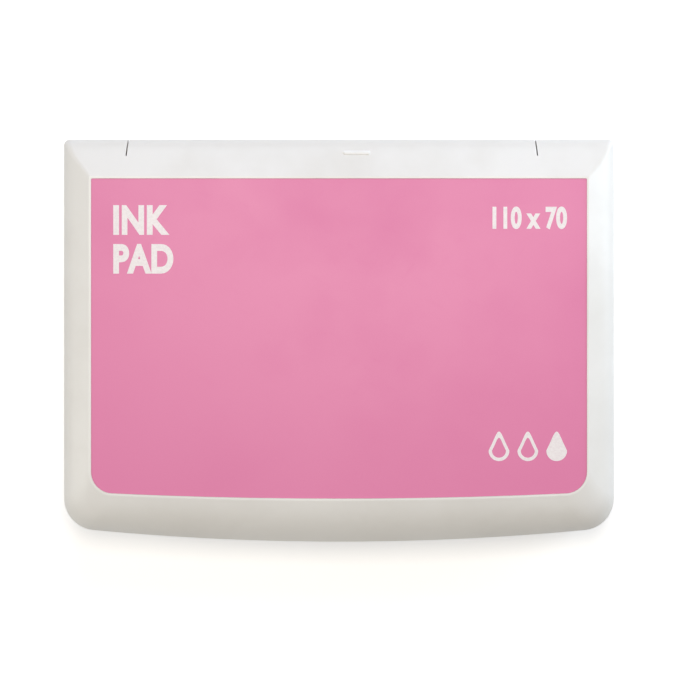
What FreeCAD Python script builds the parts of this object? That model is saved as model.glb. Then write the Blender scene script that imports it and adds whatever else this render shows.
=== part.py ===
import FreeCAD, Part
import math
import os

# A desk ink pad in a flat white case: a tray that holds a cloth-covered, ink-soaked felt block,
# and a snap-shut lid, hinged along the rear edge, with a coloured label on its crown.
# Millimetres. +X is to the right, +Y towards the hinge, +Z up, origin at the bottom centre.
# An inset is a distance inwards from the largest outline of the case, seen from above.

V = FreeCAD.Vector

# ---------------------------------------------------------------- driving dimensions
CASE_W = 123.5            # width over the side walls
CASE_D = 90.3             # depth from the bowed front edge to the hinge edge
CASE_H = 18.0             # height, lid closed
PAD_W = 110.0             # inking surface, a size 2 pad
PAD_D = 70.0
OPEN_DEG = 110.0          # how far the lid opens before it rests on its stop

# Plan outline of the case where it is largest, and of the flat crown.
EDGE_BOW_R = 580.0        # radius of the bowed front edge
EDGE_CORNER_R = 7.2       # front corners
EDGE_REAR_R = 1.2         # rear corners
CROWN_BOW_R = 1100.0
CROWN_CORNER_R = 5.3
CROWN_REAR_R = 0.5
CROWN_SIDE = 6.25         # insets of the crown
CROWN_REAR = 8.65
CROWN_FRONT = 9.65

# Heights of the case.
BASE_TOP_Z = 8.8          # shoulder of the tray, where the lid's skirt comes down to
SPLIT_GAP = 0.35          # visible parting line between tray and lid
SHOULDER_Z = 12.4         # where the lid's upright skirt turns into its slopes
FLOOR_T = 1.8             # tray floor
LID_WALL = 1.7            # skirt wall
LID_ROOF = 1.6            # roof, measured upright
ROOF_SIDE_WALL = 0.4      # what the wall thins to, sideways, under the crown
EDGE_CHAMFER = 0.3        # broken edges along the parting line

# Hinge: a round barrel under the lid's rear edge turns in a trough along the tray.
BARREL_R = 2.4
TROUGH_R = 2.65
HINGE_Y = CASE_D / 2 - BARREL_R
HINGE_Z = 8.4
STOP_GAP = 0.15           # left between lid and stop at full travel
LUG_T = 2.6               # tray lugs that carry the lid
LUG_R = 2.15
LUG_SIDE_GAP = 0.25
PIN_R = 1.1               # moulded pins at the ends of the middle barrel
PIN_CLEARANCE = 0.06
PIN_REACH = 2.1
PIN_CONE = 0.4            # lead-in at the pin's end
SLIT_W = 0.28             # relief slits beside the hinge flap
SLIT_LEFT_X = -47.2       # where they start, at the hinge edge
SLIT_RIGHT_X = 44.0
SLIT_IN = 3.9             # how far they run in from the hinge edge
SLIT_LEAN = 3.8           # degrees by which they lean outwards on the way in

# Lip and catch.
LIP_GAP = 0.25            # between the tray's lip and the lid's skirt
LIP_T = 1.3
LIP_TOP_Z = 11.2
LIP_LEAD = 0.5            # sloped lead-in along the lip's top
CATCH_Z = 10.2
CATCH_L = 26.0
CATCH_BEAD_R = 0.5
CATCH_PROUD = 0.2         # how far the bead stands out of the lip
CATCH_GROOVE_R = 0.55
CATCH_GROOVE_DEPTH = 0.7

# Pad cassette.
PAD_Y = -0.6              # centre of the pad
FRAME_OUT_W = 117.0
FRAME_OUT_D = 76.9
FRAME_TOP_Z = 10.6
FRAME_OUT_R = 3.2         # corner radii, seen from above
FRAME_WINDOW_R = 3.0
FRAME_EDGE_R = 0.4        # the rim's rounded top edge
WINDOW_GAP = 0.05         # between the cloth's plan and the rim's window
POCKET_GAP = 0.25
CARRIER_T = 1.0
CARRIER_WALL = 1.2
CARRIER_R = 2.8
CARRIER_TOP_Z = 9.2
CARRIER_GAP = 0.2         # between the carrier and the rim's skirt
CORE_R = 2.4              # felt and foam
CORE_GAP = 0.1            # slack between the cloth and what it covers
FELT_TOP_Z = 9.4
FOAM_TOP_Z = 11.6
FOAM_EDGE_R = 0.9
CLOTH_T = 0.45
HEM_RISE = 0.6            # the cloth's hem stops this far above the carrier's floor

# Labels.
LABEL_MARGIN = 0.5        # flat rim of the crown around the label
LABEL_T = 0.15
LABEL_RECESS = 0.3
LABEL_GAP = 0.05          # between the label's edge and its recess
LABEL_REAR_R = 0.3
INFO_W = 64.0
INFO_D = 32.0
INFO_T = 0.12
INFO_R = 1.5

SLIT_END_Y = CASE_D / 2 - SLIT_IN
LIP_OUT = LID_WALL + LIP_GAP
LIP_IN = LIP_OUT + LIP_T
POCKET_REAR_Y = PAD_Y + FRAME_OUT_D / 2 + POCKET_GAP
LIP_REAR_IN = CASE_D / 2 - POCKET_REAR_Y
SKIRT_Z = BASE_TOP_Z + SPLIT_GAP


# ---------------------------------------------------------------- outlines and solids
def outline(z, rear, side, front, corner, bow, rear_corner):
    """The case's outline at height z: straight rear and sides, bowed front, rounded corners."""
    half = CASE_W / 2 - side
    y_rear = CASE_D / 2 - rear
    y_front = front - CASE_D / 2
    bow_y = y_front + bow
    corner_x = half - corner
    corner_y = bow_y - math.sqrt((bow - corner) ** 2 - corner_x**2)
    turn = math.atan2(corner_y - bow_y, corner_x)
    bow_x = bow * math.cos(turn)
    bow_end_y = bow_y + bow * math.sin(turn)
    mid_x = corner_x + corner * math.cos(turn / 2)
    mid_y = corner_y + corner * math.sin(turn / 2)
    rear_x = half - rear_corner
    rear_y = y_rear - rear_corner
    diagonal = rear_corner * math.sqrt(0.5)
    p = [V(-rear_x, y_rear, z), V(rear_x, y_rear, z), V(half, rear_y, z), V(half, corner_y, z)]
    p += [V(bow_x, bow_end_y, z), V(-bow_x, bow_end_y, z), V(-half, corner_y, z), V(-half, rear_y, z)]
    return Part.Wire([
        Part.LineSegment(p[0], p[1]).toShape(),
        Part.Arc(p[1], V(rear_x + diagonal, rear_y + diagonal, z), p[2]).toShape(),
        Part.LineSegment(p[2], p[3]).toShape(),
        Part.Arc(p[3], V(mid_x, mid_y, z), p[4]).toShape(),
        Part.Arc(p[4], V(0, y_front, z), p[5]).toShape(),
        Part.Arc(p[5], V(-mid_x, mid_y, z), p[6]).toShape(),
        Part.LineSegment(p[6], p[7]).toShape(),
        Part.Arc(p[7], V(-rear_x - diagonal, rear_y + diagonal, z), p[0]).toShape(),
    ])


def case_outline(z, inset, rear=None):
    """The largest outline moved inwards by an even inset, with another inset at the rear if given."""
    rear = inset if rear is None else rear
    rear_corner = max(EDGE_REAR_R - inset, CROWN_REAR_R)
    return outline(z, rear, inset, inset, EDGE_CORNER_R - inset, EDGE_BOW_R - inset, rear_corner)


def prism(wire, height):
    return Part.Face(wire).extrude(V(0, 0, height))


def loft(wires, ruled=False):
    return Part.makeLoft(wires, True, ruled)


def block(x0, x1, y0, y1, z0, z1):
    return Part.makeBox(x1 - x0, y1 - y0, z1 - z0, V(x0, y0, z0))


def rod_x(radius, x0, x1, y, z):
    """A cylinder along X."""
    return Part.makeCylinder(radius, x1 - x0, V(x0, y, z), V(1, 0, 0))


def bow_bar(radius, inset, length, z):
    """A round bar that follows the bowed front at an even inset from it."""
    bow = EDGE_BOW_R - inset
    centre = V(0, EDGE_BOW_R - CASE_D / 2, z)
    turn = math.degrees(length / bow)
    ring = Part.Circle(V(0, centre.y - bow, z), V(1, 0, 0), radius).toShape()
    bar = Part.Face(Part.Wire(ring)).revolve(centre, V(0, 0, 1), turn)
    bar.rotate(centre, V(0, 0, 1), -turn / 2)
    return bar


def rounded_slab(width, depth, corner, z0, z1, y=PAD_Y):
    """A slab with rounded upright corners, centred on the pad."""
    hx = width / 2 - corner
    hy = depth / 2 - corner
    k = corner * math.sqrt(0.5)
    edges = []
    for sx, sy in ((1, 1), (1, -1), (-1, -1), (-1, 1)):
        side_end = V(sx * (hx + corner), y + sy * hy, z0)
        end_end = V(sx * hx, y + sy * (hy + corner), z0)
        mid = V(sx * (hx + k), y + sy * (hy + k), z0)
        first, last = (end_end, side_end) if sx * sy > 0 else (side_end, end_end)
        edges.append((first, mid, last))
    wire = []
    for i, (first, mid, last) in enumerate(edges):
        wire.append(Part.Arc(first, mid, last).toShape())
        wire.append(Part.LineSegment(last, edges[(i + 1) % 4][0]).toShape())
    return prism(Part.Wire(wire), z1 - z0)


def export(shape, node):
    shape = shape.removeSplitter()
    os.makedirs("parts", exist_ok=True)
    shape.exportStep(f"parts/{node}.step")
    print(f"{node}: {len(shape.Solids)} solid, {shape.Volume:.0f} mm3, valid {shape.isValid()}")


# ---------------------------------------------------------------- lid surface
# Each slope falls from the crown to the shoulder. Over its run, from 0 at the crown to 1 at the edge,
# it falls evenly by the share `even`, and the rest comes in a curve: a high power keeps the slope flat
# and rounds it off close to the edge, a low one curves it all the way.
SIDE_SLOPE = dict(run=CROWN_SIDE, even=0.62, power=6)
REAR_SLOPE = dict(run=CROWN_REAR, even=0.70, power=10)
FRONT_SLOPE = dict(run=CROWN_FRONT, even=0.35, power=2.5)
HALVINGS = 50             # halving steps that find a slope's place at a height
LEAST_REAR_R = 0.4
SLOPE_SECTIONS = 12
CAVITY_SECTIONS = 10
SPREAD = 0.45             # share of the sections' spacing that is even, the rest crowds to the crown


def slope_fall(x, even, power):
    """The share of the height that a slope has fallen by at x of its run."""
    return even * x + (1 - even) * x**power


def slope_inset(z, run, even, power):
    """How far the slope's surface lies inside the largest outline at height z."""
    if z <= SHOULDER_Z:
        return 0.0
    fallen = max(CASE_H - z, 0.0) / (CASE_H - SHOULDER_Z)
    low, high = 0.0, 1.0
    for _ in range(HALVINGS):
        x = (low + high) / 2
        if slope_fall(x, even, power) < fallen:
            low = x
        else:
            high = x
    return run * (1 - low)


def blend(z, at_shoulder, at_crown):
    share = min(max((z - SHOULDER_Z) / (CASE_H - SHOULDER_Z), 0.0), 1.0)
    return at_shoulder + (at_crown - at_shoulder) * share


def lid_outline(z, lift=0.0, wall=0.0):
    """The lid's surface at height z. A lift and a wall give the cavity's surface under it."""
    up = z + lift
    return outline(
        z,
        slope_inset(up, **REAR_SLOPE) + wall,
        slope_inset(up, **SIDE_SLOPE) + wall,
        slope_inset(up, **FRONT_SLOPE) + wall,
        blend(up, EDGE_CORNER_R, CROWN_CORNER_R) - wall,
        blend(up, EDGE_BOW_R, CROWN_BOW_R) - wall,
        max(blend(up, EDGE_REAR_R, CROWN_REAR_R) - wall, LEAST_REAR_R),
    )


def heights(low, high, count):
    """Heights from low to high that come closer together near the top, where the slopes are shallow."""
    shares = [i / (count - 1) for i in range(count)]
    return [high - (high - low) * (SPREAD * s + (1 - SPREAD) * s**2) for s in reversed(shares)]


def lid_block():
    """The lid as a solid lump, without its cavity."""
    slopes = loft([lid_outline(z) for z in heights(SHOULDER_Z, CASE_H, SLOPE_SECTIONS)])
    skirt = prism(case_outline(SKIRT_Z + EDGE_CHAMFER, 0), SHOULDER_Z - SKIRT_Z - EDGE_CHAMFER)
    edge = loft([case_outline(SKIRT_Z, EDGE_CHAMFER), case_outline(SKIRT_Z + EDGE_CHAMFER, 0)], True)
    return slopes.fuse([skirt, edge])


def lid_cavity():
    low_z = SHOULDER_Z - LID_ROOF
    top_z = CASE_H - LID_ROOF
    wires = []
    for z in heights(low_z, top_z, CAVITY_SECTIONS):
        share = (z - low_z) / (top_z - low_z)
        wires.append(lid_outline(z, LID_ROOF, LID_WALL + (ROOF_SIDE_WALL - LID_WALL) * share))
    skirt = prism(case_outline(SKIRT_Z - 1, LID_WALL), low_z - SKIRT_Z + 1)
    return loft(wires).fuse(skirt)


# ---------------------------------------------------------------- lid
LUG_X = (
    SLIT_LEFT_X - LUG_T / 2 - LUG_SIDE_GAP + SLIT_W / 2,
    SLIT_RIGHT_X + LUG_T / 2 + LUG_SIDE_GAP - SLIT_W / 2,
)
NOTCH_HALF = LUG_T / 2 + LUG_SIDE_GAP
NOTCH_R = 2.75
NOTCH_TOP_Z = 11.1
SEAL_RIB_T = 1.0
SEAL_RIB_W = 114.6
SEAL_RIB_D = 74.6
SEAL_RIB_R = 3.0
SEAL_GAP = 0.2
EJECTOR_R = 2.6           # round marks that the mould's ejector pins leave under the roof
EJECTOR_SUNK = 0.12
EJECTOR_X = (-42.0, 0.0, 42.0)
EJECTOR_Y = (-24.0, 22.0)
PIP_X = 3.9
PIP_IN = 3.3              # in from the hinge edge
PIP_L = 6.2
PIP_R = 0.58
PIP_SUNK = 0.15           # how far the pip's centre lies under the slope


def hinge_barrel():
    whole = rod_x(BARREL_R, -CASE_W / 2, CASE_W / 2, HINGE_Y, HINGE_Z)
    return whole.common(prism(case_outline(0, 0), CASE_H))


def hinge_notches():
    """Room for the tray's lugs, which swing up to the rear face as the lid opens."""
    cuts = []
    for x in LUG_X:
        cuts.append(rod_x(NOTCH_R, x - NOTCH_HALF, x + NOTCH_HALF, HINGE_Y, HINGE_Z))
        cuts.append(block(x - NOTCH_HALF, x + NOTCH_HALF, HINGE_Y, CASE_D, HINGE_Z - TROUGH_R, NOTCH_TOP_Z))
    return cuts


def hinge_pins():
    """Pins on the two ends of the middle barrel, with a lead-in cone."""
    pins = []
    for x, way in zip(LUG_X, (-1, 1)):
        root = V(x - way * NOTCH_HALF, HINGE_Y, HINGE_Z)
        along = V(way, 0, 0)
        straight = PIN_REACH - PIN_CONE
        pins.append(Part.makeCylinder(PIN_R, straight, root, along))
        pins.append(Part.makeCone(PIN_R, PIN_R - PIN_CONE, PIN_CONE, root + along * straight, along))
    return pins


def relief_slits():
    cuts = []
    for x, way in ((SLIT_LEFT_X, -1), (SLIT_RIGHT_X, 1)):
        slit = block(x - SLIT_W / 2, x + SLIT_W / 2, SLIT_END_Y, CASE_D, HINGE_Z, CASE_H)
        slit.rotate(V(x, CASE_D / 2, 0), V(0, 0, 1), way * SLIT_LEAN)
        cuts.append(slit)
    return cuts


def seal_rib():
    """A rib under the roof that closes the pad off on top of its frame."""
    low, high = FRAME_TOP_Z + SEAL_GAP, CASE_H
    outer = rounded_slab(SEAL_RIB_W, SEAL_RIB_D, SEAL_RIB_R, low, high)
    inner_w = SEAL_RIB_W - 2 * SEAL_RIB_T
    inner_d = SEAL_RIB_D - 2 * SEAL_RIB_T
    return outer.cut(rounded_slab(inner_w, inner_d, SEAL_RIB_R - SEAL_RIB_T, low, high))


def ejector_marks():
    roof_z = CASE_H - LID_ROOF
    marks = []
    for x in EJECTOR_X:
        for y in EJECTOR_Y:
            marks.append(Part.makeCylinder(EJECTOR_R, 2 * EJECTOR_SUNK, V(x, y, roof_z - EJECTOR_SUNK)))
    return marks


def moulded_pip():
    """A small raised bar on the rear slope, in the middle of the flap."""
    half = PIP_L / 2 - PIP_R
    y = CASE_D / 2 - PIP_IN
    fall = slope_fall(1 - PIP_IN / CROWN_REAR, REAR_SLOPE["even"], REAR_SLOPE["power"])
    z = CASE_H - (CASE_H - SHOULDER_Z) * fall - PIP_SUNK
    ends = [Part.makeSphere(PIP_R, V(PIP_X + s * half, y, z)) for s in (-1, 1)]
    return rod_x(PIP_R, PIP_X - half, PIP_X + half, y, z).fuse(ends)


def label_outline(z, gap=0.0):
    """The label's outline, and with a gap the outline of its recess."""
    margin = LABEL_MARGIN - gap
    return outline(
        z,
        CROWN_REAR + margin,
        CROWN_SIDE + margin,
        CROWN_FRONT + margin,
        CROWN_CORNER_R - margin,
        CROWN_BOW_R - margin,
        LABEL_REAR_R + gap,
    )


def lid_shell():
    lump = lid_block()
    lid = lump.cut(lid_cavity())
    lid = lid.fuse([hinge_barrel(), seal_rib().common(lump)])
    lid = lid.cut(hinge_notches() + relief_slits() + ejector_marks())
    lid = lid.fuse(hinge_pins() + [moulded_pip()])
    lid = lid.cut(prism(label_outline(CASE_H - LABEL_RECESS, LABEL_GAP), 1.0))
    groove_inset = LID_WALL - CATCH_GROOVE_DEPTH + CATCH_GROOVE_R
    return lid.cut(bow_bar(CATCH_GROOVE_R, groove_inset, CATCH_L + 1, CATCH_Z))


def lid_label():
    return prism(label_outline(CASE_H - LABEL_RECESS), LABEL_T)


# ---------------------------------------------------------------- tray
THUMB_RING_R = 60.0
THUMB_TUBE_R = 5.5
THUMB_DEPTH = 2.0
FOOT_RECESS = 0.5
FOOT_RECESS_W = 104.0
FOOT_RECESS_D = 66.0
FOOT_RECESS_R = 4.0
POCKET_R = 3.4
THUMB_FRONT = 0.1         # the scoop is measured from this far inside the front edge
LIP_ROOT = 0.5            # how far the lip reaches down into the tray's wall
STEM_FRONT = 1.6          # the lug's stem, in front of and behind the hinge axis
STEM_REAR = 0.9
LUG_ROOT = 0.7            # how far the stem goes into the trough's floor
HOLLOW_IN = 1.9           # the hollow under the hinge edge, in from that edge
HOLLOW_D = 3.2
HOLLOW_TOP_Z = 3.6
HOLLOW_HALF_X = 56.0
HOLLOW_RIBS = 7
HOLLOW_RIB_T = 1.0


def tray_outer():
    foot = [(0.0, 1.9), (0.15, 1.5), (0.5, 1.15), (1.1, 0.95)]
    rounding = loft([case_outline(z, inset) for z, inset in foot])
    wall_z = BASE_TOP_Z - EDGE_CHAMFER
    wall = loft([case_outline(foot[-1][0], foot[-1][1]), case_outline(wall_z, 0.0)], True)
    edge = loft([case_outline(wall_z, 0.0), case_outline(BASE_TOP_Z, EDGE_CHAMFER)], True)
    return rounding.fuse([wall, edge])


def tray_lip():
    """The upright lip that the lid's skirt closes over, with a lead-in edge and the catch bead."""
    rear_out = LIP_REAR_IN - LIP_T
    root_z = BASE_TOP_Z - LIP_ROOT
    low = prism(case_outline(root_z, LIP_OUT, rear_out), LIP_TOP_Z - LIP_LEAD - root_z)
    top = loft([
        case_outline(LIP_TOP_Z - LIP_LEAD, LIP_OUT, rear_out),
        case_outline(LIP_TOP_Z, LIP_OUT + LIP_LEAD, rear_out + LIP_LEAD),
    ], True)
    bead = bow_bar(CATCH_BEAD_R, LIP_OUT + CATCH_BEAD_R - CATCH_PROUD, CATCH_L, CATCH_Z)
    hollow = prism(case_outline(root_z, LIP_IN, LIP_REAR_IN), CASE_H)
    return low.fuse([top, bead]).cut(hollow)


def stop_wedge():
    """What has to go behind the trough so that the lid's rear face can lie on the tray when open."""
    down = math.radians(OPEN_DEG)
    reach = BARREL_R + STOP_GAP
    tilt = math.tan(down - math.pi / 2)
    y0 = HINGE_Y - 0.5
    y1 = CASE_D / 2 + 1
    drop = reach / math.sin(down)
    z0 = HINGE_Z - drop - (y0 - HINGE_Y) * tilt
    z1 = HINGE_Z - drop - (y1 - HINGE_Y) * tilt
    half = CASE_W / 2 + 1
    corners = [V(-half, y0, z0), V(-half, y1, z1), V(-half, y1, CASE_H), V(-half, y0, CASE_H)]
    return Part.Face(Part.makePolygon(corners + corners[:1])).extrude(V(2 * half, 0, 0))


def hinge_lugs():
    lugs = []
    for x in LUG_X:
        ring = rod_x(LUG_R, x - LUG_T / 2, x + LUG_T / 2, HINGE_Y, HINGE_Z)
        root_z = HINGE_Z - TROUGH_R - LUG_ROOT
        stem = block(x - LUG_T / 2, x + LUG_T / 2, HINGE_Y - STEM_FRONT, HINGE_Y + STEM_REAR, root_z, HINGE_Z)
        lugs += [ring, stem]
    return lugs


def underside_core():
    """The hollow under the hinge edge, crossed by ribs, that keeps the moulding's walls even."""
    y1 = CASE_D / 2 - HOLLOW_IN
    y0 = y1 - HOLLOW_D
    hollow = block(-HOLLOW_HALF_X, HOLLOW_HALF_X, y0, y1, -1, HOLLOW_TOP_Z)
    bay = 2 * HOLLOW_HALF_X / (HOLLOW_RIBS + 1)
    ribs = []
    for i in range(HOLLOW_RIBS):
        x = -HOLLOW_HALF_X + bay * (i + 1)
        ribs.append(block(x - HOLLOW_RIB_T / 2, x + HOLLOW_RIB_T / 2, y0, y1, -1, HOLLOW_TOP_Z))
    return hollow.cut(ribs)


def thumb_scoop():
    front_y = THUMB_FRONT - CASE_D / 2
    centre = V(0, front_y + THUMB_DEPTH - THUMB_TUBE_R - THUMB_RING_R, BASE_TOP_Z)
    return Part.makeTorus(THUMB_RING_R, THUMB_TUBE_R, centre, V(0, 0, 1))


def base_tray():
    pocket_w = FRAME_OUT_W + 2 * POCKET_GAP
    pocket_d = FRAME_OUT_D + 2 * POCKET_GAP
    tray = tray_outer().fuse(tray_lip())
    tray = tray.cut([
        rounded_slab(pocket_w, pocket_d, POCKET_R, FLOOR_T, CASE_H),
        rod_x(TROUGH_R, -CASE_W, CASE_W, HINGE_Y, HINGE_Z),
        stop_wedge(),
        thumb_scoop(),
        underside_core(),
        rounded_slab(FOOT_RECESS_W, FOOT_RECESS_D, FOOT_RECESS_R, -1, FOOT_RECESS),
    ])
    tray = tray.fuse(hinge_lugs())
    bores = []
    for x in LUG_X:
        bores.append(rod_x(PIN_R + PIN_CLEARANCE, x - LUG_T, x + LUG_T, HINGE_Y, HINGE_Z))
    return tray.cut(bores)


def info_label():
    return rounded_slab(INFO_W, INFO_D, INFO_R, FOOT_RECESS - INFO_T, FOOT_RECESS)


# ---------------------------------------------------------------- pad cassette
FRAME_T = 1.2
FRAME_SKIRT_T = 0.7
FRAME_SKIRT_Z = 4.4
CORE_W = PAD_W - 2 * (CLOTH_T + CORE_GAP)
CORE_D = PAD_D - 2 * (CLOTH_T + CORE_GAP)
CARRIER_W = FRAME_OUT_W - 2 * (FRAME_SKIRT_T + CARRIER_GAP)
CARRIER_D = FRAME_OUT_D - 2 * (FRAME_SKIRT_T + CARRIER_GAP)


def pad_carrier():
    tray = rounded_slab(CARRIER_W, CARRIER_D, CARRIER_R, FLOOR_T, CARRIER_TOP_Z)
    well_w = CARRIER_W - 2 * CARRIER_WALL
    well_d = CARRIER_D - 2 * CARRIER_WALL
    well_r = CARRIER_R - CARRIER_WALL / 2
    return tray.cut(rounded_slab(well_w, well_d, well_r, FLOOR_T + CARRIER_T, CASE_H))


def ink_felt():
    return rounded_slab(CORE_W, CORE_D, CORE_R, FLOOR_T + CARRIER_T, FELT_TOP_Z)


def pad_foam():
    foam = rounded_slab(CORE_W, CORE_D, CORE_R, FELT_TOP_Z, FOAM_TOP_Z)
    return foam.makeFillet(FOAM_EDGE_R, top_edges(foam, FOAM_TOP_Z))


def top_edges(shape, z):
    return [e for e in shape.Edges if all(abs(v.Z - z) < 1e-6 for v in e.Vertexes)]


def pad_cloth():
    """The cloth, drawn over the foam and down past the felt's sides."""
    hem_z = FLOOR_T + CARRIER_T + HEM_RISE
    top_z = FOAM_TOP_Z + CLOTH_T
    over = 2 * CLOTH_T
    outer = rounded_slab(CORE_W + over, CORE_D + over, CORE_R + CLOTH_T, hem_z, top_z)
    outer = outer.makeFillet(FOAM_EDGE_R + CLOTH_T, top_edges(outer, top_z))
    inner = rounded_slab(CORE_W, CORE_D, CORE_R, FLOOR_T, FOAM_TOP_Z)
    return outer.cut(inner.makeFillet(FOAM_EDGE_R, top_edges(inner, FOAM_TOP_Z)))


def pad_frame():
    """The rim that is pressed over the carrier and holds the cloth's edge down."""
    rim = rounded_slab(FRAME_OUT_W, FRAME_OUT_D, FRAME_OUT_R, FRAME_SKIRT_Z, FRAME_TOP_Z)
    rim = rim.makeFillet(FRAME_EDGE_R, top_edges(rim, FRAME_TOP_Z))
    inside_w = FRAME_OUT_W - 2 * FRAME_SKIRT_T
    inside_d = FRAME_OUT_D - 2 * FRAME_SKIRT_T
    inside = rounded_slab(inside_w, inside_d, FRAME_WINDOW_R, FRAME_SKIRT_Z, FRAME_TOP_Z - FRAME_T)
    window_w = PAD_W + 2 * WINDOW_GAP
    window_d = PAD_D + 2 * WINDOW_GAP
    window = rounded_slab(window_w, window_d, FRAME_WINDOW_R, FRAME_SKIRT_Z, CASE_H)
    return rim.cut([inside, window])


# ---------------------------------------------------------------- the object
def main():
    sub_parts = [
        lid_shell, lid_label, base_tray, info_label, pad_carrier, ink_felt, pad_foam, pad_cloth, pad_frame
    ]
    for sub_part in sub_parts:
        export(sub_part(), sub_part.__name__)


main()
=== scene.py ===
# %% [markdown]
# # A desk ink pad
# The case is two white mouldings, a tray and a lid, joined by moulded pins along the rear edge. A pink label
# lies on the lid, and inside sits a cassette with an ink-soaked pad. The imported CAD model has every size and
# the hinge, so this notebook only finishes it: it keeps the hard mouldings, whose shapes are already right,
# gives them real plastic, and builds the soft and printed pieces again as proper meshes.

# %% Load the fixed frame
import math
import bmesh
import bpy
from mathutils import Matrix, Vector, noise


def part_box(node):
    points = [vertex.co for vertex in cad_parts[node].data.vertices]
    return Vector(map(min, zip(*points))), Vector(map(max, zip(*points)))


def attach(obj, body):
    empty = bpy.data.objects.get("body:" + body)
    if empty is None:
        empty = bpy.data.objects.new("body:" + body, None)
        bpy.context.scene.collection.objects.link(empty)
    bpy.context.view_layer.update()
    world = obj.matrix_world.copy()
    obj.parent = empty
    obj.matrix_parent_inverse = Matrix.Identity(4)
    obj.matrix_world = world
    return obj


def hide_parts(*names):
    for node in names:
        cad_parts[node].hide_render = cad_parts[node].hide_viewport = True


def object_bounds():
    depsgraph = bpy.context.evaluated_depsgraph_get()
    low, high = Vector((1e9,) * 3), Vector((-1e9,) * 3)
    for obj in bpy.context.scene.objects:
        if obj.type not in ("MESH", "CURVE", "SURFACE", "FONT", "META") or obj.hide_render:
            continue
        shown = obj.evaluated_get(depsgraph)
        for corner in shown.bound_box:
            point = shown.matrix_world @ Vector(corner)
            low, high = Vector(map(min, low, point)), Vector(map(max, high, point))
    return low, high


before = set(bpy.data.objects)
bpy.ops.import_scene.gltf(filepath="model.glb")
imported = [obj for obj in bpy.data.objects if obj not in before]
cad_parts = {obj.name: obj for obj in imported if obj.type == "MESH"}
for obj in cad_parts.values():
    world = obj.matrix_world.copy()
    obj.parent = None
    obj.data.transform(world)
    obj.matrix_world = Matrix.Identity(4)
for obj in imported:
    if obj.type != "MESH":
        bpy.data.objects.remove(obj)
cad_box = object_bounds()
MM = 0.001
print("CAD box in mm:", [[round(value / MM, 2) for value in corner] for corner in cad_box])

# %% [markdown]
# ## Camera
# The case is looked at from straight above, as a flat product on a table is. A camera that hangs far above
# with a long lens shows almost no perspective, yet keeps the little that makes the lower edges draw in.

# %% Camera above the label
LABEL_LOW, LABEL_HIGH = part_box("lid_label")
VIEW_DISTANCE = 450 * MM
VIEW_WIDTH = 150.9 * MM          # how much of the label's plane the picture takes in
VIEW_AIM = Vector((0.22 * MM, 0.17 * MM, LABEL_HIGH.z))

camera_data = bpy.data.cameras.new("overhead_camera")
camera_data.lens = camera_data.sensor_width * VIEW_DISTANCE / VIEW_WIDTH
camera_data.clip_start = 0.01
camera = bpy.data.objects.new("overhead_camera", camera_data)
camera.location = VIEW_AIM + Vector((0, 0, VIEW_DISTANCE))
bpy.context.scene.collection.objects.link(camera)
bpy.context.scene.camera = camera
print("lens", round(camera_data.lens, 1), "mm")

# %% [markdown]
# ## Small tools for shader nodes
# Every material below is a small net of nodes. `node` makes one, sets its properties, and fills its sockets,
# either with a plain value or with a link from another node's output. `calc` does the same for arithmetic.


# %% Node helpers
def node(tree, kind, sockets=None, **settings):
    made = tree.nodes.new("ShaderNode" + kind)
    for name, value in settings.items():
        setattr(made, name, value)
    for name, value in (sockets or {}).items():
        if isinstance(value, bpy.types.NodeSocket):
            tree.links.new(value, made.inputs[name])
        else:
            made.inputs[name].default_value = value
    return made


def calc(tree, operation, *values, clamp=False):
    made = node(tree, "Math", dict(enumerate(values)), operation=operation, use_clamp=clamp)
    return made.outputs[0]


def ramp(tree, value, low, high, to_low=0.0, to_high=1.0):
    """The value's stretch from low to high, spread over another stretch and held at its ends."""
    sockets = {"Value": value, "From Min": low, "From Max": high, "To Min": to_low, "To Max": to_high}
    return node(tree, "MapRange", sockets).outputs["Result"]


def tinted(tree, share, colour, other):
    """The first colour where share is 0 and the other where it is 1. Either may be a link."""
    mix = node(tree, "Mix", data_type="RGBA")
    for name, value in ((0, share), (6, colour), (7, other)):
        if isinstance(value, bpy.types.NodeSocket):
            tree.links.new(value, mix.inputs[name])
        else:
            mix.inputs[name].default_value = (*value, 1.0) if name else value
    return mix.outputs[2]


def speckle(tree, places, scale, detail=2.0, roughness=0.5):
    sockets = {"Vector": places, "Scale": scale, "Detail": detail, "Roughness": roughness}
    return node(tree, "TexNoise", sockets).outputs["Fac"]


# %% [markdown]
# ## Effects that several finishes share
# A group is built once and placed in each material with its own values. Each puts out only masks and heights
# that change over the surface. The shader itself stays in the material, where an exporter can read it.


# %% A frame for an effect group
def effect(name, inputs, outputs):
    tree = bpy.data.node_groups.new(name, "ShaderNodeTree")
    for label, value in inputs.items():
        kind = "NodeSocketVector" if value is None else "NodeSocketFloat"
        socket = tree.interface.new_socket(name=label, in_out="INPUT", socket_type=kind)
        if value is not None:
            socket.default_value = value
    for label in outputs:
        tree.interface.new_socket(name=label, in_out="OUTPUT", socket_type="NodeSocketFloat")
    return tree, tree.nodes.new("NodeGroupInput").outputs, tree.nodes.new("NodeGroupOutput").inputs


def use_effect(tree, group, **values):
    sockets = {name.replace("_", " "): value for name, value in values.items()}
    return node(tree, "Group", sockets, node_tree=group).outputs


# %% [markdown]
# A moulded surface carries the fine spark-eroded texture of its steel mould, and under that a slow waviness
# from the way the plastic shrank. Two noises at very different scales make it: one for the glint of the
# grain, one that gently bends long reflections.

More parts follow.
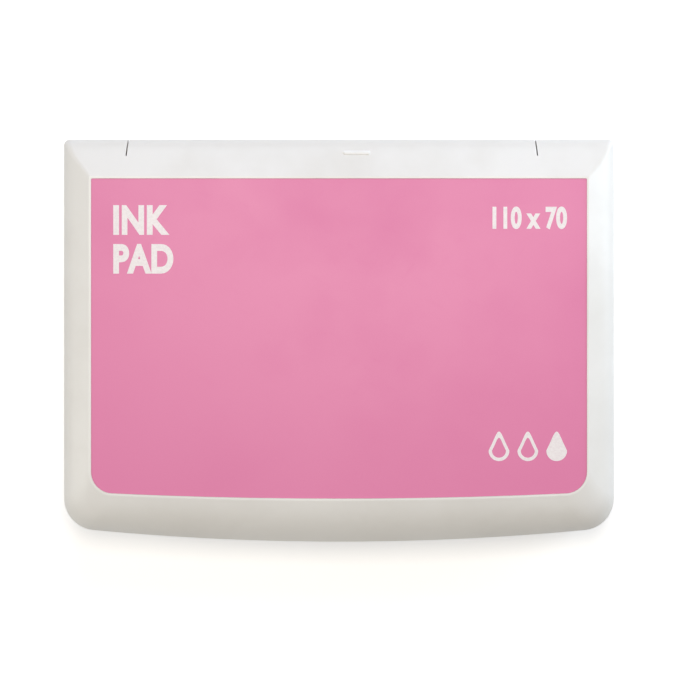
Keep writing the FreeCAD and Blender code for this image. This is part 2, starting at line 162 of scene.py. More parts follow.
# %% Moulded grain
grain_inputs = {"Places": None, "Grain": 5200.0, "Waviness": 60.0}
grain_tree, given, result = effect("moulded_grain", grain_inputs, ["Height"])
fine = speckle(grain_tree, given["Places"], given["Grain"], 3.0, 0.6)
slow = speckle(grain_tree, given["Places"], given["Waviness"], 1.0)
height = calc(grain_tree, "MULTIPLY_ADD", slow, 6.0, fine)
grain_tree.links.new(height, result["Height"])
MOULDED_GRAIN = grain_tree

# %% [markdown]
# A desk tool is picked up with inky, greasy fingers. Broad faint smears change the gloss more than the
# colour, and hair-fine scuffs cross them. Stretching the coordinates of a noise makes scuffs that run one
# way, and two such sets at a slant look like use and not like a pattern.

# %% Handling marks
marks_inputs = {"Places": None, "Smear": 55.0, "Scuff": 240.0}
marks_tree, given, result = effect("handling_marks", marks_inputs, ["Smears", "Scuffs"])
smear = speckle(marks_tree, given["Places"], given["Smear"], 4.0, 0.6)
marks_tree.links.new(ramp(marks_tree, smear, 0.45, 0.72), result["Smears"])
scuffs = []
for turn, stretch in ((0.5, 22.0), (-0.9, 30.0)):
    turned = {"Vector": given["Places"], "Angle": turn}
    slanted = node(marks_tree, "VectorRotate", turned, rotation_type="Z_AXIS").outputs[0]
    squeezing = {0: slanted, 1: (1.0, stretch, stretch)}
    squeezed = node(marks_tree, "VectorMath", squeezing, operation="MULTIPLY").outputs[0]
    lines = speckle(marks_tree, squeezed, given["Scuff"], 1.0)
    scuffs.append(ramp(marks_tree, lines, 0.70, 0.76))
marks_tree.links.new(calc(marks_tree, "MAXIMUM", *scuffs), result["Scuffs"])
HANDLING_MARKS = marks_tree

# %% [markdown]
# Ambient occlusion finds where a surface is hidden by another: in the parting line, in the slits and round
# the label. The colour is darkened there, which is painted shade. Along an outer edge the gloss is worn smooth
# and the colour made paler, in part worn and in part a painted highlight. The Bevel node bends the normal near
# an edge, so where it parts from the true one there is an edge.

# %% Painted shade in creases, and worn edges with a painted highlight
crease_shade_tree, given, result = effect("crease_and_edge", {"Reach": 0.0012, "Edge": 0.0003}, ["Crease", "Edge"])
# The crease mask: the colour is darkened by it, which is painted shade.
hidden = node(crease_shade_tree, "AmbientOcclusion", {"Distance": given["Reach"]}, samples=6)
crease_shade_tree.links.new(ramp(crease_shade_tree, hidden.outputs["AO"], 0.75, 0.2), result["Crease"])
bent = node(crease_shade_tree, "Bevel", {"Radius": given["Edge"]}, samples=4)
true_normal = node(crease_shade_tree, "NewGeometry").outputs["Normal"]
parted = node(crease_shade_tree, "VectorMath", {0: bent.outputs[0], 1: true_normal}, operation="DOT_PRODUCT")
crease_shade_tree.links.new(ramp(crease_shade_tree, parted.outputs["Value"], 0.998, 0.93), result["Edge"])
CREASE_AND_EDGE = crease_shade_tree

# %% [markdown]
# ## White case plastic
# Tray and lid are moulded from the same warm white polystyrene, satin and slightly see-through at thin
# walls. The base is one colour, shifted a little by smears and darkened in the creases as painted shade.
# It is paler along worn edges, in part as a painted highlight, and paler still on the small raised bar near
# the hinge edge, which is a painted highlight. Gloss is what tells plastic from paint, so roughness takes most
# of the marks.


# %% Plastic for mouldings
def material(name):
    made = bpy.data.materials.new(name)
    made.use_nodes = True
    tree = made.node_tree
    tree.nodes.clear()
    shader = tree.nodes.new("ShaderNodeBsdfPrincipled")
    tree.links.new(shader.outputs[0], tree.nodes.new("ShaderNodeOutputMaterial").inputs[0])
    places = tree.nodes.new("ShaderNodeTexCoord").outputs["Object"]
    return made, tree, shader, places


def connect(tree, shader, **sockets):
    for name, value in sockets.items():
        tree.links.new(value, shader.inputs[name.replace("_", " ")])


def bump(tree, height, depth, strength=1.0):
    return node(tree, "Bump", {"Height": height, "Distance": depth, "Strength": strength}).outputs["Normal"]


GRAIN_DEPTH = 0.004 * MM
# Paler white for worn edges, in part a painted highlight, and on the raised bar wholly a painted highlight.
RUBBED_AND_HIGHLIGHT_WHITE = (0.95, 0.95, 0.94)
CREASE_SHADE_SHARE = 0.22                # how far painted shade takes a crease towards the dark colour
SMEAR_SHARE = 0.16
RUBBED_AND_HIGHLIGHT_SHARE = 0.6
BAR_X = 3.9 * MM                 # middle of the small raised bar
BAR_Y = cad_box[1][1] - 3.21 * MM
BAR_HALF = (3.08 * MM, 0.46 * MM)


def painted_bar_highlight(tree, places):
    """1 on the small raised bar near the hinge edge, where the colour is made paler as a painted highlight."""
    apart = node(tree, "SeparateXYZ", {0: places}).outputs
    along = calc(tree, "COMPARE", apart[0], BAR_X, BAR_HALF[0])
    across = calc(tree, "COMPARE", apart[1], BAR_Y, BAR_HALF[1])
    outside = calc(tree, "GREATER_THAN", apart[2], LABEL_LOW.z / 2)
    return calc(tree, "MULTIPLY", calc(tree, "MULTIPLY", along, across), outside)


def moulded_plastic(name, white, dirt_and_shade, roughness):
    made, tree, shader, places = material(name)
    bar = painted_bar_highlight(tree, places)
    marks = use_effect(tree, HANDLING_MARKS, Places=places, Smear=38.0)
    crease_shade_and_edge = use_effect(tree, CREASE_AND_EDGE)
    grain = use_effect(tree, MOULDED_GRAIN, Places=places)
    smears = calc(tree, "MULTIPLY", marks["Smears"], SMEAR_SHARE)
    # Painted shade darkens the creases, but not the raised bar; a painted highlight makes the bar paler, and
    # in part the worn edges.
    crease_shade_share = calc(tree, "MULTIPLY_ADD", bar, -CREASE_SHADE_SHARE, CREASE_SHADE_SHARE)
    crease_shade = calc(tree, "MULTIPLY", crease_shade_and_edge["Crease"], crease_shade_share)
    rubbed_and_highlight_share = calc(tree, "MAXIMUM", bar, calc(tree, "MULTIPLY", crease_shade_and_edge["Edge"], RUBBED_AND_HIGHLIGHT_SHARE))
    rubbed_and_highlight = tinted(tree, rubbed_and_highlight_share, white, RUBBED_AND_HIGHLIGHT_WHITE)
    colour = tinted(tree, calc(tree, "ADD", smears, crease_shade, clamp=True), rubbed_and_highlight, dirt_and_shade)
    gloss = ramp(tree, marks["Smears"], 0.0, 1.0, roughness, roughness + 0.12)
    gloss = calc(tree, "MULTIPLY_ADD", marks["Scuffs"], 0.10, gloss)
    gloss = calc(tree, "MULTIPLY_ADD", crease_shade_and_edge["Edge"], -0.12, gloss)
    connect(tree, shader, Base_Color=colour, Roughness=gloss, Normal=bump(tree, grain["Height"], GRAIN_DEPTH))
    return made


CASE_WHITE = (0.848, 0.835, 0.802)
# Darker colour for handling smears and for the painted shade in creases.
CASE_DIRT_AND_SHADE = (0.50, 0.46, 0.40)
CASE_PLASTIC = moulded_plastic("white_case_plastic", CASE_WHITE, CASE_DIRT_AND_SHADE, roughness=0.34)


def dress(cad_node, made):
    """Puts a material in every slot of a CAD node."""
    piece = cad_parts[cad_node]
    for slot in piece.material_slots:
        slot.material = made
    print(cad_node, "wears", made.name)


dress("lid_shell", CASE_PLASTIC)
dress("base_tray", CASE_PLASTIC)

# %% [markdown]
# ## The cassette
# The carrier and the rim that holds the cloth are a softer, duller plastic. Ink creeps from the cloth onto
# the rim, strongest at the window's edge and thinning outwards in small tongues. The mask is the distance
# from the window, worked out from the place on the piece, broken up by a noise.

# %% Cassette plastic with ink creep
CLOTH_LOW, CLOTH_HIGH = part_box("pad_cloth")
PAD_MIDDLE = (CLOTH_LOW + CLOTH_HIGH) / 2
PAD_HALF = (CLOTH_HIGH - CLOTH_LOW) / 2
INK = (0.70, 0.185, 0.345)
INK_DEEP = (0.52, 0.085, 0.205)
RIM_WHITE = (0.76, 0.755, 0.73)
RIM_SMEARED = (0.6, 0.5, 0.5)
INK_CREEP = (0.4 * MM, 1.15 * MM)    # where the ink on the rim is thinnest and full, against the ragged mask
RIM_GRAIN_DEPTH = 0.006 * MM


def inky_rim():
    made, tree, shader, places = material("inked_cassette_plastic")
    apart = node(tree, "SeparateXYZ", {0: places}).outputs
    past = []
    for axis in (0, 1):
        away = calc(tree, "ABSOLUTE", calc(tree, "SUBTRACT", apart[axis], PAD_MIDDLE[axis]))
        past.append(calc(tree, "SUBTRACT", away, PAD_HALF[axis]))
    distance = calc(tree, "MAXIMUM", *past)
    ragged = calc(tree, "MULTIPLY_ADD", speckle(tree, places, 420.0, 4.0, 0.65), -2.4 * MM, distance)
    stain = ramp(tree, ragged, -INK_CREEP[0], -INK_CREEP[1])
    grain = use_effect(tree, MOULDED_GRAIN, Places=places)
    marks = use_effect(tree, HANDLING_MARKS, Places=places, Smear=120.0)
    plastic = tinted(tree, calc(tree, "MULTIPLY", marks["Smears"], 0.25), RIM_WHITE, RIM_SMEARED)
    colour = tinted(tree, calc(tree, "MULTIPLY", stain, 0.8), plastic, INK)
    gloss = ramp(tree, stain, 0.0, 1.0, 0.46, 0.26)
    height = bump(tree, grain["Height"], RIM_GRAIN_DEPTH)
    connect(tree, shader, Base_Color=colour, Roughness=gloss, Normal=height)
    return made


CASSETTE_PLASTIC = inky_rim()
dress("pad_carrier", CASSETTE_PLASTIC)
dress("pad_frame", CASSETTE_PLASTIC)

# %% [markdown]
# ## Small tools for meshes
# New pieces start from a bmesh operator and are shaped by more operators. `finished` turns the bmesh into
# an object that rides on its CAD body. The mesh holds its own place, so the object stays at the origin.


# %% Mesh helpers
def finished(bm, name, made, body, replaces=(), smooth=True):
    mesh = bpy.data.meshes.new(name)
    bm.normal_update()
    bm.to_mesh(mesh)
    bm.free()
    piece = bpy.data.objects.new(name, mesh)
    bpy.context.scene.collection.objects.link(piece)
    mesh.materials.append(made)
    mesh.shade_smooth() if smooth else mesh.shade_flat()
    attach(piece, body)
    if replaces:
        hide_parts(*replaces)
    print(name, "has", len(mesh.polygons), "faces")
    return piece


def box_between(bm, low, high):
    """A box from one corner to the other. Gives back its vertices."""
    low, high = Vector(low), Vector(high)
    place = Matrix.Translation((low + high) / 2) @ Matrix.Diagonal((*(high - low), 1.0))
    return bmesh.ops.create_cube(bm, size=1.0, matrix=place)["verts"]


def upright_edges(bm):
    return [e for e in bm.edges if abs((e.verts[0].co - e.verts[1].co).normalized().z) > 0.99]


def rim_edges(bm, z):
    return [e for e in bm.edges if all(abs(v.co.z - z) < 1e-6 for v in e.verts)]


def rounded_block(bm, low, high, corner, edge, segments=6):
    """A box with rounded upright corners and a rounded top edge."""
    box_between(bm, low, high)
    bmesh.ops.bevel(
        bm, geom=upright_edges(bm), offset=corner, segments=segments, profile=0.5, affect="EDGES", material=-1
    )
    bmesh.ops.bevel(
        bm, geom=rim_edges(bm, high[2]), offset=edge, segments=4, profile=0.5, affect="EDGES", material=-1
    )


# %% [markdown]
# ## Felt block and foam
# The ink is stored in a block of pressed felt, and a thin foam layer on top lets the surface give a little.
# Both are hidden under the cloth, but they are real pieces. The outline is cut from a sheet, so the sides
# are a bit ragged. Slicing the block into a fine grid and nudging the points by a noise makes that.


# %% Cutting a block into a grid
def slice_block(bm, low, high, step):
    """Cuts the mesh by evenly spaced upright planes, so that it has points to move."""
    for axis in (0, 1):
        cuts = int((high[axis] - low[axis]) / step)
        for i in range(1, cuts):
            at, along = Vector((0, 0, 0)), Vector((0, 0, 0))
            at[axis] = low[axis] + (high[axis] - low[axis]) * i / cuts
            along[axis] = 1.0
            everything = bm.verts[:] + bm.edges[:] + bm.faces[:]
            bmesh.ops.bisect_plane(bm, geom=everything, plane_co=at, plane_no=along, dist=1e-7)


def roughen(bm, scale, amount):
    """Moves every point inwards along its normal, by up to the amount, as a noise says."""
    bm.normal_update()
    for vert in bm.verts:
        vert.co -= vert.normal * amount * (0.5 + 0.5 * noise.noise(vert.co * scale))


# %% [markdown]
# Felt and foam need different surfaces. Felt is a mat of fibres, so its noise is stretched and fine. Foam
# is a field of pores, so it takes a Voronoi pattern, sunk where the cells open and darker there as painted
# shade.


# %% Felt and foam finishes
def felt_finish():
    made, tree, shader, places = material("inked_felt")
    layered = node(tree, "VectorMath", {0: places, 1: (1.0, 1.0, 4.0)}, operation="MULTIPLY").outputs[0]
    fibres = speckle(tree, layered, 1500.0, 6.0, 0.75)
    soak = speckle(tree, places, 90.0, 3.0)
    colour = tinted(tree, ramp(tree, soak, 0.35, 0.7), INK, INK_DEEP)
    rough = ramp(tree, fibres, 0.3, 0.7, 0.7, 0.95)
    connect(tree, shader, Base_Color=colour, Roughness=rough, Normal=bump(tree, fibres, 0.25 * MM))
    return made


def foam_finish():
    made, tree, shader, places = material("inked_foam")
    cells = node(tree, "TexVoronoi", {"Vector": places, "Scale": 2200.0}, feature="F1").outputs["Distance"]
    # Darker in the pores, which is painted shade.
    colour = tinted(tree, ramp(tree, cells, 0.15, 0.6), INK_DEEP, INK)
    rough = ramp(tree, cells, 0.1, 0.6, 0.8, 0.6)
    connect(tree, shader, Base_Color=colour, Roughness=rough, Normal=bump(tree, cells, 0.2 * MM))
    return made


# %% Felt block
FELT_LOW, FELT_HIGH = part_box("ink_felt")
felt_mesh = bmesh.new()
rounded_block(felt_mesh, FELT_LOW, FELT_HIGH, corner=2.4 * MM, edge=0.3 * MM)
slice_block(felt_mesh, FELT_LOW, FELT_HIGH, step=2.0 * MM)
roughen(felt_mesh, scale=900.0, amount=0.08 * MM)
felt_block = finished(felt_mesh, "felt_block", felt_finish(), "tray", ["ink_felt"])

# %% Foam layer
FOAM_LOW, FOAM_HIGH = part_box("pad_foam")
foam_mesh = bmesh.new()
rounded_block(foam_mesh, FOAM_LOW, FOAM_HIGH, corner=2.4 * MM, edge=0.9 * MM)
slice_block(foam_mesh, FOAM_LOW, FOAM_HIGH, step=2.0 * MM)
roughen(foam_mesh, scale=700.0, amount=0.06 * MM)
foam_layer = finished(foam_mesh, "foam_layer", foam_finish(), "tray", ["pad_foam"])

# %% [markdown]
# ## Inking cloth
# The cloth is drawn over the foam, down the felt's sides and held by the rim, so its face is not quite flat:
# the foam pushes it up in the middle and the pull at the hem draws it down at the edges. That is what cloth
# simulation does well. The shell is remeshed into even small faces, everything below the shoulder is pinned,
# and a light air pressure stands for the foam. The points are then held to a small rise, so that the cloth
# keeps clear of the lid. The bottom is cut open, and Solidify gives the cloth its thickness inwards.

# %% Simulate the drawn cloth
CLOTH_T = 0.45 * MM
CLOTH_CORNER_R = 2.85 * MM       # seen from above
SHOULDER_R = 1.35 * MM           # where the face turns down into the sides
PINNED_BELOW = 0.5 * MM          # lower than this under the top, the cloth is held
MOST_RISE = 0.35 * MM
EVEN_FACE = 1.0 * MM             # size of the even faces that the cloth is simulated with
AIR_PRESSURE = 4.0
FRAMES = 20


def cloth_start():
    """The closed shell that the simulation swells: the cloth's outer shape, remeshed evenly."""
    bm = bmesh.new()
    rounded_block(bm, CLOTH_LOW, CLOTH_HIGH, corner=CLOTH_CORNER_R, edge=SHOULDER_R)
    mesh = bpy.data.meshes.new("cloth_start")
    bm.to_mesh(mesh)
    bm.free()
    start = bpy.data.objects.new("cloth_start", mesh)
    bpy.context.scene.collection.objects.link(start)
    remesh = start.modifiers.new("even", "REMESH")
    remesh.mode = "VOXEL"
    remesh.voxel_size = EVEN_FACE
    evaluated = start.evaluated_get(bpy.context.evaluated_depsgraph_get())
    even = bpy.data.meshes.new_from_object(evaluated)
    start.modifiers.clear()
    start.data = even
    return start


def swell(start):
    """Runs the cloth for a few frames with pressure and no gravity, and gives back the moved points."""
    held = start.vertex_groups.new(name="held")
    top = CLOTH_HIGH.z - PINNED_BELOW
    held.add([v.index for v in start.data.vertices if v.co.z < top], 1.0, "REPLACE")
    cloth = start.modifiers.new("drawn", "CLOTH")
    settings = cloth.settings
    settings.vertex_group_mass = "held"
    settings.use_pressure = True
    settings.uniform_pressure_force = AIR_PRESSURE
    settings.effector_weights.gravity = 0.0
    settings.quality = 6
    cloth.point_cache.frame_start = 1
    cloth.point_cache.frame_end = FRAMES
    for step in range(1, FRAMES + 1):
        bpy.context.scene.frame_set(step)
    evaluated = start.evaluated_get(bpy.context.evaluated_depsgraph_get())
    points = [v.co.copy() for v in evaluated.data.vertices]
    start.modifiers.clear()
    bpy.context.scene.frame_set(1)
    return points


cloth_object = cloth_start()
before = [v.co.copy() for v in cloth_object.data.vertices]
after = swell(cloth_object)
rise = max(new.z - old.z for new, old in zip(after, before)) or 1.0
print("the cloth rose", round(rise / MM, 3), "mm before it was held back")

# %% [markdown]
# The rise is scaled so that the highest point reaches the limit, sideways moves are dropped, and the bottom
# is opened. The weave has to follow the cloth over the shoulder and down the side, so the mesh gets a UV map
# with the flat cut: on the face it is simply X and Y, and beyond the rounded corner's centre the drop is
# added in the outward direction, as if the cloth were laid flat again.


# %% Hold the rise, open the bottom and map the flat cut
def hold_back(mesh, before, after, rise):
    share = min(MOST_RISE / rise, 1.0)
    for vert, old, new in zip(mesh.vertices, before, after):
        vert.co = old + Vector((0, 0, (new.z - old.z) * share))


def flat_cut(point):
    """Where a point of the drawn cloth lay on the flat cut, in metres from its middle."""
    across = Vector((point.x - PAD_MIDDLE.x, point.y - PAD_MIDDLE.y))
    reach = [half - CLOTH_CORNER_R for half in PAD_HALF.xy]
    inner = Vector([max(-far, min(far, c)) for c, far in zip(across, reach)])
    outward = across - inner
    if outward.length < 1e-9:
        return across
    drop = max(CLOTH_HIGH.z - point.z, 0.0)
    return across + outward.normalized() * drop


def map_flat_cut(mesh):
    layer = mesh.uv_layers.new(name="flat_cut")
    for loop in mesh.loops:
        layer.data[loop.index].uv = flat_cut(mesh.vertices[loop.vertex_index].co)


hold_back(cloth_object.data, before, after, rise)
cloth_mesh = bmesh.new()
cloth_mesh.from_mesh(cloth_object.data)
bpy.data.objects.remove(cloth_object)
HEM_Z = CLOTH_LOW.z + 0.4 * MM
everything = cloth_mesh.verts[:] + cloth_mesh.edges[:] + cloth_mesh.faces[:]
bmesh.ops.bisect_plane(
    cloth_mesh, geom=everything, plane_co=(0, 0, HEM_Z), plane_no=(0, 0, 1), clear_inner=True, dist=1e-7
)
bmesh.ops.smooth_vert(
    cloth_mesh, verts=[v for v in cloth_mesh.verts if v.co.z > HEM_Z + MM], factor=0.5,
    use_axis_x=True, use_axis_y=True, use_axis_z=True
)

# %% [markdown]
# ## Plain weave
# In a plain weave each warp thread goes over one weft thread and under the next. Seen as heights, the warp
# is a row of rounded ridges whose height swings along the thread, the weft is the same turned by a quarter,
# and the higher of the two shows. The swing flips from one thread to the next, and that is the whole trick.

# %% Weave group
THREAD_PITCH = 0.60 * MM
THREAD_RISE = 0.55               # mean height of a thread, and how far it swings over and under
THREAD_SWING = 0.42
weave_tree, given, result = effect("plain_weave", {"Places": None, "Pitch": THREAD_PITCH}, ["Height", "Gap"])
apart = node(weave_tree, "SeparateXYZ", {0: given["Places"]}).outputs
threads = [calc(weave_tree, "DIVIDE", apart[i], given["Pitch"]) for i in (0, 1)]


def one_set(tree, across, along, flip):
    """Heights of one set of threads: across is counted in threads, along is the way they run."""
    ridge = calc(tree, "ABSOLUTE", calc(tree, "SINE", calc(tree, "MULTIPLY", across, math.pi)))
    parity = calc(tree, "PINGPONG", calc(tree, "FLOOR", across), 1.0)
    phase = calc(tree, "MULTIPLY", calc(tree, "ADD", along, parity), math.pi)
    swing = calc(tree, "MULTIPLY_ADD", calc(tree, "SINE", phase), flip, THREAD_RISE)
    return calc(tree, "MULTIPLY", calc(tree, "POWER", ridge, 0.6), swing)


warp = one_set(weave_tree, threads[0], threads[1], THREAD_SWING)
weft = one_set(weave_tree, threads[1], threads[0], -THREAD_SWING)
top_thread = calc(weave_tree, "MAXIMUM", warp, weft)
weave_tree.links.new(top_thread, result["Height"])
weave_tree.links.new(ramp(weave_tree, top_thread, 0.42, 0.08), result["Gap"])
PLAIN_WEAVE = weave_tree

# %% [markdown]
# The cloth is damp with ink. Ink sits darker in the slow patches where it has been pressed out and not yet
# come back, and those patches are a little glossier than the rest. The gaps between threads are darker
# as painted shade.


# %% Inked cloth
# Painted shade for the gaps between threads.
SHADE_IN_GAPS = (0.27, 0.025, 0.085)
THREAD_WANDER = 0.5 * MM         # how far the threads stray from straight lines
THREAD_DEPTH = 0.20 * MM


def inked_cloth():
    made, tree, shader, places = material("inked_cloth")
    cut = node(tree, "UVMap", uv_map="flat_cut").outputs[0]
    wobble = node(tree, "TexNoise", {"Vector": places, "Scale": 140.0, "Detail": 2.0}).outputs["Color"]
    drift = node(tree, "VectorMath", {0: wobble, 1: (0.5, 0.5, 0.5)}, operation="SUBTRACT").outputs[0]
    wandering = {0: drift, 1: (THREAD_WANDER,) * 3, 2: cut}
    uneven = node(tree, "VectorMath", wandering, operation="MULTIPLY_ADD").outputs[0]
    weave = use_effect(tree, PLAIN_WEAVE, Places=uneven)
    patches = ramp(tree, speckle(tree, places, 48.0, 4.0, 0.6), 0.35, 0.68)
    ink = tinted(tree, patches, INK, INK_DEEP)
    # The gaps between threads are darkened as painted shade.
    colour = tinted(tree, calc(tree, "MULTIPLY", weave["Gap"], 0.85), ink, SHADE_IN_GAPS)
    rough = ramp(tree, patches, 0.0, 1.0, 0.62, 0.42)
    shader.inputs["Sheen Weight"].default_value = 0.08
    height = bump(tree, weave["Height"], THREAD_DEPTH)
    connect(tree, shader, Base_Color=colour, Roughness=rough, Normal=height)
    return made


bmesh.ops.recalc_face_normals(cloth_mesh, faces=cloth_mesh.faces[:])
inking_cloth = finished(cloth_mesh, "inking_cloth", inked_cloth(), "tray", ["pad_cloth"])
map_flat_cut(inking_cloth.data)
thickness = inking_cloth.modifiers.new("thickness", "SOLIDIFY")
thickness.thickness = CLOTH_T
thickness.offset = -1.0

# %% [markdown]
# ## Label
# The label is a thin printed film, stuck into a shallow recess on the crown. The CAD slab has its exact
# outline, with a bowed front edge, so it stays. Printed film looks flat, but it isn't: the colour layer has
# a faint grain, and the glue under it leaves a slow orange-peel that breaks up reflections.


# %% Printed film
LABEL_PINK = (0.785, 0.223, 0.430)
LABEL_PINK_DEEP = (0.760, 0.204, 0.405)
PEEL_DEPTH = 0.002 * MM


def printed_film():
    made, tree, shader, places = material("printed_film")
    marks = use_effect(tree, HANDLING_MARKS, Places=places, Smear=30.0, Scuff=160.0)
    flecks = speckle(tree, places, 3200.0, 2.0, 0.7)
    slow = speckle(tree, places, 26.0, 2.0)
    print_share = calc(tree, "MULTIPLY_ADD", flecks, 0.5, calc(tree, "MULTIPLY", slow, 0.5))
    colour = tinted(tree, ramp(tree, print_share, 0.3, 0.7), LABEL_PINK, LABEL_PINK_DEEP)
    gloss = ramp(tree, marks["Smears"], 0.0, 1.0, 0.36, 0.46)
    gloss = calc(tree, "MULTIPLY_ADD", marks["Scuffs"], 0.12, gloss)
    peel = calc(tree, "MULTIPLY_ADD", speckle(tree, places, 520.0, 1.0), 1.0, flecks)
    connect(tree, shader, Base_Color=colour, Roughness=gloss, Normal=bump(tree, peel, PEEL_DEPTH))
    return made


dress("lid_label", printed_film())

# %% [markdown]
# ## Print on the label
# White words and three drops of ink are printed over the pink. The words are plain ones for what the thing
# is and how large its pad is. Each is typed as a text curve, thickened a little, made a mesh, and only then
# fitted to its place, because a curve keeps its place in its object. A drop is a circle whose upper points
# are drawn up to a tip.


# %% White print
def print_white():
    made, tree, shader, places = material("print_white")
    flecks = speckle(tree, places, 2600.0, 2.0, 0.7)
    colour = tinted(tree, ramp(tree, flecks, 0.35, 0.7), (0.90, 0.86, 0.86), (0.83, 0.76, 0.78))
    rough = ramp(tree, flecks, 0.3, 0.7, 0.34, 0.44)
    connect(tree, shader, Base_Color=colour, Roughness=rough)
    return made


PRINT_WHITE = print_white()
PRINT_Z = LABEL_HIGH.z
PRINT_T = 0.02 * MM


def printed_word(name, words, left, top, cap_height, condense, right=None, weight=0.045):
    """Words on the label, with their upper left corner, or upper right if given, at a place in metres."""
    curve = bpy.data.curves.new(name, "FONT")
    curve.body = words
    curve.offset = weight
    curve.resolution_u = 8
    curve.space_character = 1.06
    typed = bpy.data.objects.new(name, curve)
    bpy.context.scene.collection.objects.link(typed)
    flat = bpy.data.meshes.new_from_object(typed.evaluated_get(bpy.context.evaluated_depsgraph_get()))
    bpy.data.objects.remove(typed)
    bm = bmesh.new()
    bm.from_mesh(flat)
    bmesh.ops.remove_doubles(bm, verts=bm.verts, dist=1e-5)
    lows = [min(v.co[axis] for v in bm.verts) for axis in (0, 1)]
    highs = [max(v.co[axis] for v in bm.verts) for axis in (0, 1)]
    tall = cap_height / (highs[1] - lows[1])
    wide = tall * condense
    start_x = left if right is None else right - (highs[0] - lows[0]) * wide
    for vert in bm.verts:
        x = start_x + (vert.co.x - lows[0]) * wide
        y = top - (highs[1] - vert.co.y) * tall
        vert.co = (x, y, PRINT_Z)
    raise_print(bm)
    return finished(bm, name, PRINT_WHITE, "lid", smooth=False)


def raise_print(bm):
    """Gives a flat print its film of ink, standing on the label."""
    grown = bmesh.ops.extrude_face_region(bm, geom=bm.faces[:])["geom"]
    moved = [v for v in grown if isinstance(v, bmesh.types.BMVert)]
    bmesh.ops.translate(bm, verts=moved, vec=(0, 0, PRINT_T))
    bmesh.ops.recalc_face_normals(bm, faces=bm.faces[:])


WORD_LEFT = LABEL_LOW.x + 4.9 * MM
WORD_RIGHT = LABEL_HIGH.x - 4.4 * MM
NAME_TOP = LABEL_HIGH.y - 5.9 * MM
NAME_LINE = 8.6 * MM             # from one line of the name to the next
NAME_CAP = 6.6 * MM              # height of the capitals
NAME_WIDTH = 0.80                # their width, against that of the plain type
SIZE_TOP = LABEL_HIGH.y - 6.2 * MM
SIZE_CAP = 5.1 * MM
SIZE_WIDTH = 0.72
printed_word("print_ink", "INK", WORD_LEFT, NAME_TOP, NAME_CAP, NAME_WIDTH)
printed_word("print_pad", "PAD", WORD_LEFT, NAME_TOP - NAME_LINE, NAME_CAP, NAME_WIDTH)
printed_word("print_size", "110 x 70", None, SIZE_TOP, SIZE_CAP, SIZE_WIDTH, right=WORD_RIGHT)


# %% Three ink drops
DROP_POINTS = 64
TIP_PULL = 0.35                  # how far the upper half is drawn in
TIP_RISE = 0.85                  # how far the tip rises over the circle, in radii


def drop_loop(bm, middle, radius, filled):
    """A circle whose upper half is drawn in and up to a tip. Gives back its edges."""
    made = bmesh.ops.create_circle(bm, cap_ends=filled, radius=radius, segments=DROP_POINTS)
    for vert in made["verts"]:
        up = max(vert.co.y / radius, 0.0)
        vert.co.x *= 1.0 - TIP_PULL * up
        vert.co.y += TIP_RISE * radius * up**3
        vert.co += Vector((middle[0], middle[1], PRINT_Z))
    return [e for e in bm.edges if e.verts[0] in made["verts"] and e.verts[1] in made["verts"]]


def ink_drop(bm, middle, radius, line=None):
    """A full drop, or with a line's width given only its outline."""
    outer = drop_loop(bm, middle, radius, filled=line is None)
    if line:
        inner = drop_loop(bm, middle, radius - line, filled=False)
        bmesh.ops.bridge_loops(bm, edges=outer + inner)


DROP_R = 2.3 * MM
DROP_STEP = 6.4 * MM
DROP_LINE = 0.75 * MM
DROP_Y = LABEL_LOW.y + 10.6 * MM
marks_mesh = bmesh.new()
for i, line in enumerate((DROP_LINE, DROP_LINE, None)):
    drop_x = WORD_RIGHT - DROP_R - (2 - i) * DROP_STEP
    ink_drop(marks_mesh, (drop_x, DROP_Y), DROP_R, line)
raise_print(marks_mesh)
finished(marks_mesh, "print_drops", PRINT_WHITE, "lid", smooth=False)

# %% [markdown]
# ## Sticker underneath
# The tray's underside carries a small paper sticker. Its print is left blank apart from a thin frame and
# a few ruled lines, which are worked out from the place on the paper.


# %% Paper sticker
def sticker_paper():
    made, tree, shader, places = material("plain_sticker_paper")
    low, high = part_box("info_label")
    middle, half = (low + high) / 2, (high - low) / 2
    apart = node(tree, "SeparateXYZ", {0: places}).outputs
    x = calc(tree, "ABSOLUTE", calc(tree, "SUBTRACT", apart[0], middle.x))
    y = calc(tree, "ABSOLUTE", calc(tree, "SUBTRACT", apart[1], middle.y))
    inward = calc(tree, "MINIMUM", calc(tree, "SUBTRACT", half.x, x), calc(tree, "SUBTRACT", half.y, y))
    frame_line = calc(tree, "COMPARE", inward, 2.0 * MM, 0.15 * MM)
    rule_spot = calc(tree, "PINGPONG", calc(tree, "SUBTRACT", apart[1], middle.y), 3.5 * MM)
    rules = calc(tree, "COMPARE", rule_spot, 3.4 * MM, 0.1 * MM)
    inside = calc(tree, "GREATER_THAN", inward, 5.0 * MM)
    drawn = calc(tree, "MAXIMUM", frame_line, calc(tree, "MULTIPLY", rules, inside))
    fibres = speckle(tree, places, 1800.0, 5.0, 0.7)
    paper = tinted(tree, ramp(tree, fibres, 0.3, 0.7), (0.82, 0.81, 0.77), (0.76, 0.74, 0.70))
    colour = tinted(tree, calc(tree, "MULTIPLY", drawn, 0.85), paper, (0.22, 0.22, 0.24))
    rough = ramp(tree, fibres, 0.3, 0.7, 0.6, 0.75)
    connect(tree, shader, Base_Color=colour, Roughness=rough, Normal=bump(tree, fibres, 0.01 * MM))
    return made


dress("info_label", sticker_paper())

# %% [markdown]
# ## Table and light
# A plain pale table and soft light. A warm lamp hangs over the case, a cool one like a window stands behind
# the hinge edge, and two small ones lift the left and the right side, so the front slope falls into a warm
# shade. The sky fills the rest: it is pale where it is seen and gives less light than that, or the white
# case would have no shading at all. The table glows a little to the eye, like a light table, and more so
# further off, so that it stays pale in the case's own shadow and runs into the sky without a dark band.


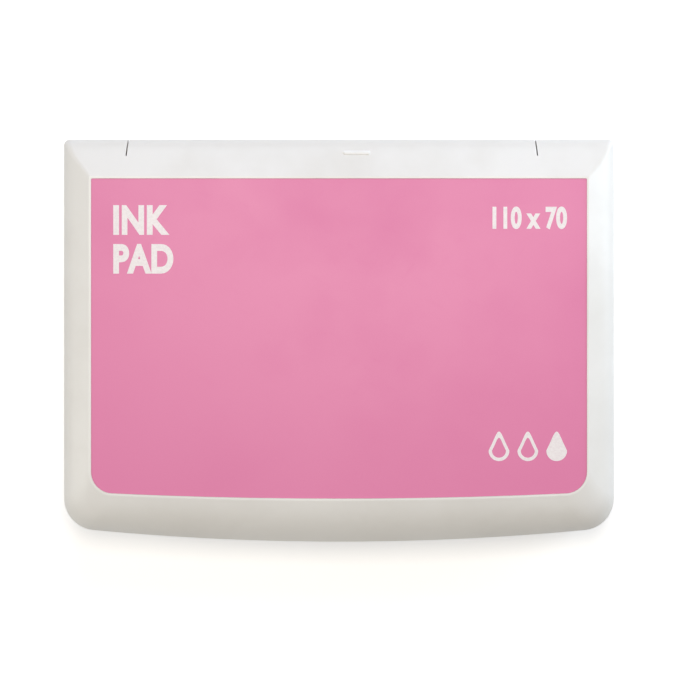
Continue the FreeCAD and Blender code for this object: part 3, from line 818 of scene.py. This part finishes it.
# %% Table
def table_material():
    made, tree, shader, places = material("table_top")
    tone = speckle(tree, places, 6.0, 2.0)
    colour = tinted(tree, ramp(tree, tone, 0.3, 0.7), (0.95, 0.95, 0.95), (0.93, 0.93, 0.93))
    far_off = node(tree, "VectorMath", {0: places}, operation="LENGTH").outputs["Value"]
    lift = ramp(tree, far_off, *LIFT_STRETCH, LIFT_NEAR, LIFT_FAR)
    seen = node(tree, "LightPath").outputs["Is Camera Ray"]
    connect(tree, shader, Base_Color=colour, Emission_Strength=calc(tree, "MULTIPLY", seen, lift))
    shader.inputs["Emission Color"].default_value = (1.0, 1.0, 1.0, 1.0)
    shader.inputs["Roughness"].default_value = 0.6
    return made


LIFT_NEAR = 0.34                 # the table's glow to the eye under the case, and far off
LIFT_FAR = 0.64
LIFT_STRETCH = (0.08, 0.7)       # metres from the middle over which it grows
TABLE_REACH = 3.0
TABLE_GAP = 0.02 * MM
table_mesh = bmesh.new()
bmesh.ops.create_grid(table_mesh, x_segments=2, y_segments=2, size=TABLE_REACH)
bmesh.ops.translate(table_mesh, verts=table_mesh.verts, vec=(0, 0, -TABLE_GAP))
mesh = bpy.data.meshes.new("table_top")
table_mesh.to_mesh(mesh)
table_mesh.free()
mesh.materials.append(table_material())
table = bpy.data.objects.new("table_top", mesh)
bpy.context.scene.collection.objects.link(table)

# %% Sky
SKY_SEEN = 0.92
SKY_LIGHT = 0.30
sky = bpy.data.worlds.new("pale_sky")
sky.use_nodes = True
background = sky.node_tree.nodes["Background"]
background.inputs["Color"].default_value = (1.0, 1.0, 1.0, 1.0)
seen = node(sky.node_tree, "LightPath").outputs["Is Camera Ray"]
strength = ramp(sky.node_tree, seen, 0.0, 1.0, SKY_LIGHT, SKY_SEEN)
sky.node_tree.links.new(strength, background.inputs["Strength"])
bpy.context.scene.world = sky
bpy.context.scene.view_settings.view_transform = "Standard"


# %% Lamps
def soft_lamp(name, turn, climb, distance, watts, tint):
    """A square lamp half as wide as it is far away. Turn is from the hinge side, clockwise from above."""
    turn, climb = math.radians(turn), math.radians(climb)
    level = math.cos(climb)
    spot = distance * Vector((level * math.sin(turn), level * math.cos(turn), math.sin(climb)))
    lamp = bpy.data.lights.new(name, "AREA")
    lamp.shape = "SQUARE"
    lamp.size = distance / 2
    lamp.energy = watts
    lamp.color = tint
    placed = bpy.data.objects.new(name, lamp)
    placed.location = spot
    placed.rotation_euler = (-spot).to_track_quat("-Z", "Y").to_euler()
    placed.visible_camera = False
    bpy.context.scene.collection.objects.link(placed)


soft_lamp("ceiling_lamp", turn=0, climb=80, distance=0.5, watts=1.12, tint=(1.0, 0.91, 0.79))
soft_lamp("window_lamp", turn=0, climb=35, distance=0.5, watts=0.64, tint=(0.64, 0.75, 1.0))
soft_lamp("left_lamp", turn=-100, climb=25, distance=0.34, watts=0.148, tint=(1.0, 1.0, 0.92))
soft_lamp("right_lamp", turn=72, climb=14, distance=0.27, watts=0.27, tint=(0.77, 0.88, 1.0))
print("four lamps placed")
